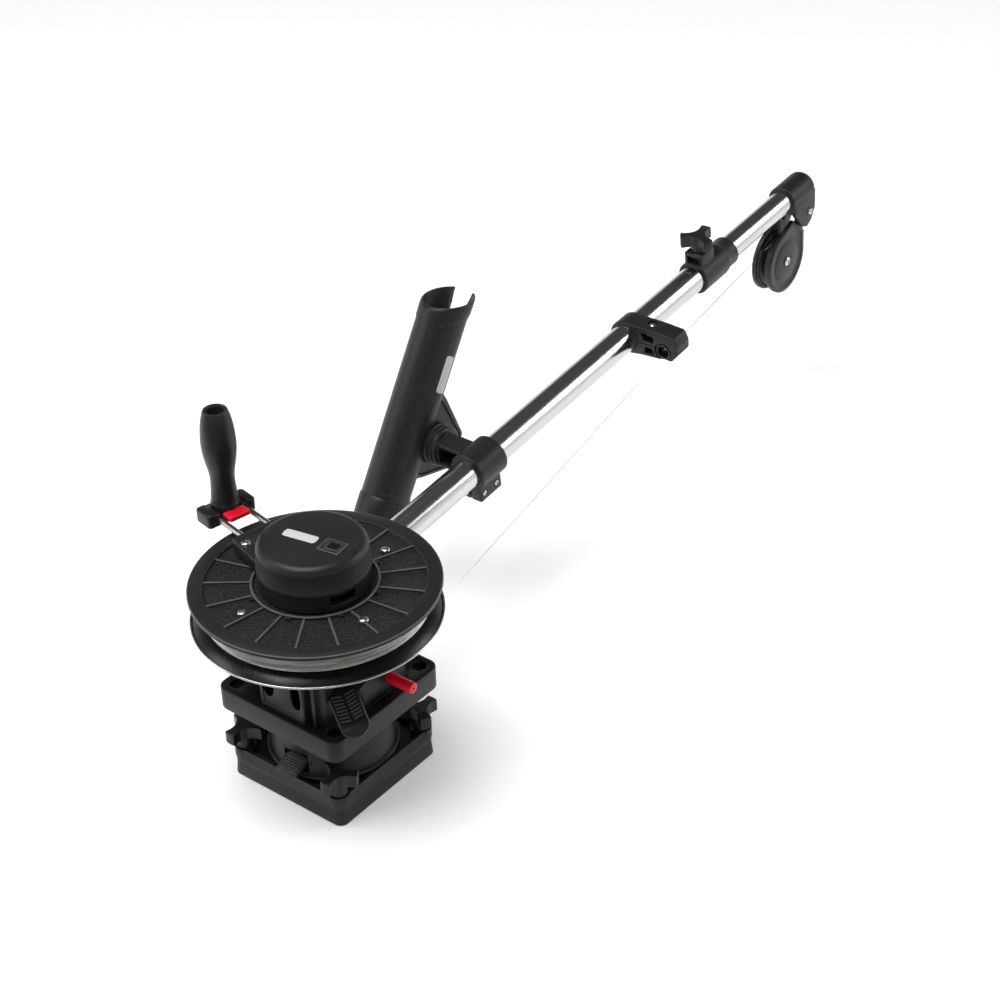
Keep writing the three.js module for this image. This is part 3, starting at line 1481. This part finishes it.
function lockCollar() {
  const middle = boomFar + fit;
  const body = alongX(revolve([
    [0, lockNear], [lockRadius, lockNear], [lockRadius, middle], [lockNeckRadius, middle + lockTaper],
    [lockNeckRadius, lockFar], [0, lockFar],
  ], round));
  const boss = box(lockBossLength, lockBossWidth, lockBossTop).translate(lockBossPlace, 0, 0);
  const bigBore = alongX(bar(boomRadius + fit, middle - lockNear + overrun, round))
    .translate(lockNear - overrun, 0, 0);
  const smallBore = alongX(bar(innerRadius + fit, lockFar - lockNear + overrun, round))
    .translate(lockNear, 0, 0);
  const stud = bar(lockStudRadius + fit, lockStudDepth + overrun, small)
    .translate(lockBossPlace, 0, lockBossTop - lockStudDepth);
  const window = box(2 * lockWindowDepth, lockWindowWidth, lockWindowHeight)
    .translate(lockBossPlace - lockBossLength / 2, 0, lockBossTop - lockStudDepth / 2 - lockWindowHeight);
  const split = box(2 * (lockFar - lockNear), earSplit / 1.5, 2 * lockRadius)
    .translate(lockFar, 0, -2 * lockRadius - innerRadius / 2);
  return cut(join(body, boss), bigBore, smallBore, stud, window, split);
}

function lockKnob() {
  const bottom = lockBossTop + fit;
  const plate = slab(lobed(lockKnobRadius, lockKnobWave, lockKnobLobes, round), lockKnobPlate, lockKnobEdge);
  return join(
    bar(lockStudRadius, lockStudDepth, small).translate(0, 0, bottom - lockStudDepth + fit),
    bar(lockKnobHub, lockKnobHubHeight + overrun, small).translate(0, 0, bottom),
    plate.translate(0, 0, bottom + lockKnobHubHeight),
  ).translate(lockBossPlace, 0, 0);
}

function endCap() {
  const nose = capNoseShares.map(([r, back]) => [capSleeveRadius * r, capNose - capSleeveRadius * back]);
  const sleeve = alongX(revolve([[0, capNear], [capSleeveRadius, capNear], ...nose, [0, capNose]], round));
  const cheekShape = new THREE.Shape();
  cheekShape.moveTo(clevisNear, 0);
  cheekShape.lineTo(clevisNear, -capSleeveRadius);
  cheekShape.lineTo(clevisNear + capSleeveRadius, -clevisLow);
  cheekShape.absarc(pivotPlace, -clevisLow + pulleyNeck / 2, pulleyNeck / 2, -turn / 4, 0);
  cheekShape.lineTo(clevisFar, -pivotDrop);
  cheekShape.lineTo(clevisFar, 0);
  const cheeks = sideSlab(cheekShape, 2 * capSleeveRadius, 1);
  const slot = box(2 * (capNose - clevisNear), 2 * clevisGap, 2 * clevisLow)
    .translate(pivotPlace, 0, -2 * clevisLow - clevisRoof);
  const bore = alongX(bar(innerRadius + fit, innerFar + fit - capNear + overrun, round))
    .translate(capNear - overrun, 0, 0);
  const boltHole = alongY(bar(pivotBoltRadius + fit, 4 * capSleeveRadius, small))
    .translate(pivotPlace, -2 * capSleeveRadius, -pivotDrop);
  return cut(join(sleeve, cheeks), slot, bore, boltHole);
}

function endCapBolt() {
  const half = capSleeveRadius + fit;
  const length = 2 * half + pivotHeadHeight;
  const screw = panScrew(pivotBoltRadius, pivotHeadRadius, pivotHeadHeight, length).rotateX(turn / 4);
  const nut = alongY(bar(pivotHeadRadius, pivotHeadHeight, 6)).translate(0, half, 0);
  return join(screw.translate(0, -half, 0), nut).translate(pivotPlace, 0, -pivotDrop);
}

// Pulley block: Z up to the pivot, hanging from it
const pulleyGroup = new THREE.Group();
pulleyGroup.position.set(pivotPlace, 0, -pivotDrop);
pulleyGroup.rotation.y = pulleyLean;
boomGroup.add(pulleyGroup);

function cheekOutline(shrink) {
  return stadium(pulleyRadius - shrink, pulleyDrop, pulleyNeck - shrink);
}

function pulleyCheek(hand) {
  const plate = sideSlab(cheekOutline(0), cheekThick, cheekPlateEdge, 7).rotateY(-turn / 4);
  plate.translate(0, 0, -pulleyDrop);
  const y = hand * (pulleyHalf - cheekThick / 2);
  const neckThick = pulleyHalf - cheekThick + cheekPlateEdge;
  const neck = alongY(bar(pulleyNeck - fit, neckThick - fit, small))
    .translate(0, hand > 0 ? fit : -neckThick, 0);
  const guardDepth = pulleyHalf - cheekThick - sheaveHalf + cheekGuard + cheekPlateEdge;
  const guardFace = pulleyHalf - cheekThick + cheekPlateEdge;
  const guard = alongY(ring(cheekGuardRadius + cheekGuard, cheekGuardRadius, guardDepth, wide))
    .translate(0, hand > 0 ? guardFace - guardDepth : -guardFace, -pulleyDrop);
  const lowHalf = box(4 * pulleyRadius, 4 * pulleyHalf, 2 * pulleyRadius)
    .translate(0, 0, -pulleyDrop - 2 * pulleyRadius);
  const guardLow = common(guard, lowHalf);
  const holes = [0, pulleyDrop].map((drop, i) => (
    alongY(bar((i === 0 ? pivotBoltRadius : sheaveAxleRadius) + fit, 4 * pulleyHalf, small))
      .translate(0, -2 * pulleyHalf, -drop)));
  return cut(join(plate.translate(0, y, 0), neck, guardLow), ...holes);
}

function sheave() {
  const bore = sheaveAxleRadius + fit;
  const half = sheaveHalf;
  const dish = half - sheaveDish;
  const rim = sheaveGroove - 2 * sheaveDish;
  return alongY(revolve([
    [bore, -half], [sheaveHub, -half], [sheaveHub + sheaveDish, -dish],
    [rim, -dish], [rim + sheaveDish, -half],
    [sheaveRadius, -half], [sheaveRadius, -half + sheaveRim], [sheaveGroove, -sheaveGrooveHalf],
    [sheaveGroove, sheaveGrooveHalf], [sheaveRadius, half - sheaveRim], [sheaveRadius, half],
    [rim + sheaveDish, half],
    [rim, dish], [sheaveHub + sheaveDish, dish], [sheaveHub, half], [bore, half], [bore, -half],
  ], wide)).translate(0, 0, -pulleyDrop);
}

function sheaveAxle() {
  const half = pulleyHalf + fit;
  const length = 2 * half + sheaveHeadHeight;
  const screw = panScrew(sheaveAxleRadius, sheaveHeadRadius, sheaveHeadHeight, length).rotateX(turn / 4);
  const nut = alongY(bar(sheaveHeadRadius, sheaveHeadHeight, 6)).translate(0, half, 0);
  return join(screw.translate(0, -half, 0), nut).translate(0, 0, -pulleyDrop);
}

// Assembly: base
add(root, 'deck_plate', deckPlate(), blackPlastic, 0.55);
add(root, 'swivel_base', swivelBase(), blackPlastic, 0.55);
corners(studSpread).forEach(([x, y], i) => {
  add(root, `star_knob_${i + 1}`, starKnob(), darkPlastic, 0.5).position.set(x, y, knobBottom);
});
add(root, 'kingpin', kingpin(), bareSteel, 0.3, 1);

// Assembly: swivel head and frame
add(root, 'swivel_drum', swivelDrum(), blackPlastic, 0.5);
add(root, 'lock_tab', lockTab(), darkPlastic, 0.5);
add(root, 'frame_plate', framePlate(), blackPlastic, 0.5);
add(root, 'frame_housing', frameHousing(), blackPlastic, 0.55);
add(root, 'brake_lever', brakeLever(), darkPlastic, 0.5);
add(root, 'lock_pin', lockPin(), redPlastic, 0.4);
add(root, 'spool_axle', spoolAxle(), bareSteel, 0.25, 1);

// Assembly: spool
const spool = new THREE.Group();
spool.position.set(spoolX, spoolY, 0);
root.add(spool);
add(spool, 'spool_hub', spoolHub(), blackPlastic, 0.5);
add(spool, 'lower_flange', lowerFlange(), glossBlack, 0.2);
add(spool, 'upper_flange', upperFlange(), blackPlastic, 0.55);
flangeScrews().forEach((screw, i) => add(spool, `flange_screw_${i + 1}`, screw, bareSteel, 0.25, 1));
add(spool, 'wire_core', wireCore(), bareSteel, 0.35, 1);
add(spool, 'wire_winding', wireWinding(), bareSteel, 0.25, 1);

// Assembly: crank
const crank = new THREE.Group();
crank.rotation.z = crankTurn;
spool.add(crank);
add(crank, 'crank_hub', crankHub(), blackPlastic, 0.55);
crankScrews().forEach((screw, i) => add(crank, `crank_screw_${i + 1}`, screw, bareSteel, 0.25, 1));
crankRods().forEach((rod, i) => add(crank, `crank_rod_${i + 1}`, rod, bareSteel, 0.2, 1));
add(crank, 'handle_block', handleBlock(), darkPlastic, 0.5);
add(crank, 'handle_latch', handleLatch(), redPlastic, 0.4);
add(crank, 'handle_spindle', handleSpindle(), bareSteel, 0.25, 1);
add(crank, 'handle_grip', handleGrip(), darkPlastic, 0.45);

// Assembly: counter
add(spool, 'counter_cap', counterCap(), blackPlastic, 0.6);
add(spool, 'counter_window', counterWindow(), clearPane, 0.1);
add(spool, 'counter_frame', counterFrame(), darkPlastic, 0.6);
for (let i = 0; i < wheelCount; i += 1) {
  add(spool, `counter_wheel_${i + 1}`, counterWheel(i), darkPlastic, 0.6);
}

// Assembly: boom
add(boomGroup, 'boom_tube', tube(boomRadius, boomWall, -boomNear, boomFar), bareSteel, 0.2, 1);
add(boomGroup, 'boom_plug', boomPlug(), darkPlastic, 0.6);
add(boomGroup, 'inner_tube', tube(innerRadius, innerWall, innerNear, innerFar), bareSteel, 0.15, 1);
add(boomGroup, 'holder_clamp', holderClamp(), blackPlastic, 0.5);
add(boomGroup, 'clamp_screw', clampScrew(), bareSteel, 0.25, 1);
add(boomGroup, 'holder_bolt', holderBolt(), bareSteel, 0.25, 1);
add(holderGroup, 'holder_tube', holderTube(), blackPlastic, 0.5);
add(boomGroup, 'guide_upper', guideHalf(1), blackPlastic, 0.5);
add(boomGroup, 'guide_lower', guideHalf(-1), blackPlastic, 0.5);
add(boomGroup, 'guide_eye', guideEye(), darkPlastic, 0.35);
add(boomGroup, 'guide_screw', guideScrew(), bareSteel, 0.25, 1);
add(boomGroup, 'lock_collar', lockCollar(), blackPlastic, 0.45);
add(boomGroup, 'lock_knob', lockKnob(), darkPlastic, 0.5);
add(boomGroup, 'end_cap', endCap(), blackPlastic, 0.45);
add(boomGroup, 'end_cap_bolt', endCapBolt(), bareSteel, 0.25, 1);
add(pulleyGroup, 'pulley_cheek_near', pulleyCheek(-1), blackPlastic, 0.5);
add(pulleyGroup, 'pulley_cheek_far', pulleyCheek(1), blackPlastic, 0.5);
add(pulleyGroup, 'sheave', sheave(), darkPlastic, 0.4);
add(pulleyGroup, 'sheave_axle', sheaveAxle(), bareSteel, 0.25, 1);

// Assembly: wire from the spool to the tip
add(root, 'wire_run', straightWire(exitPoint, eyePoint, 2 * wireRadius + fit, 0), bareSteel, 0.25, 1);
add(root, 'wire_lead', straightWire(eyePoint, joinPoint, fit, 0), bareSteel, 0.25, 1);
add(root, 'wire_tail', wireTail(), bareSteel, 0.25, 1);

export default root;
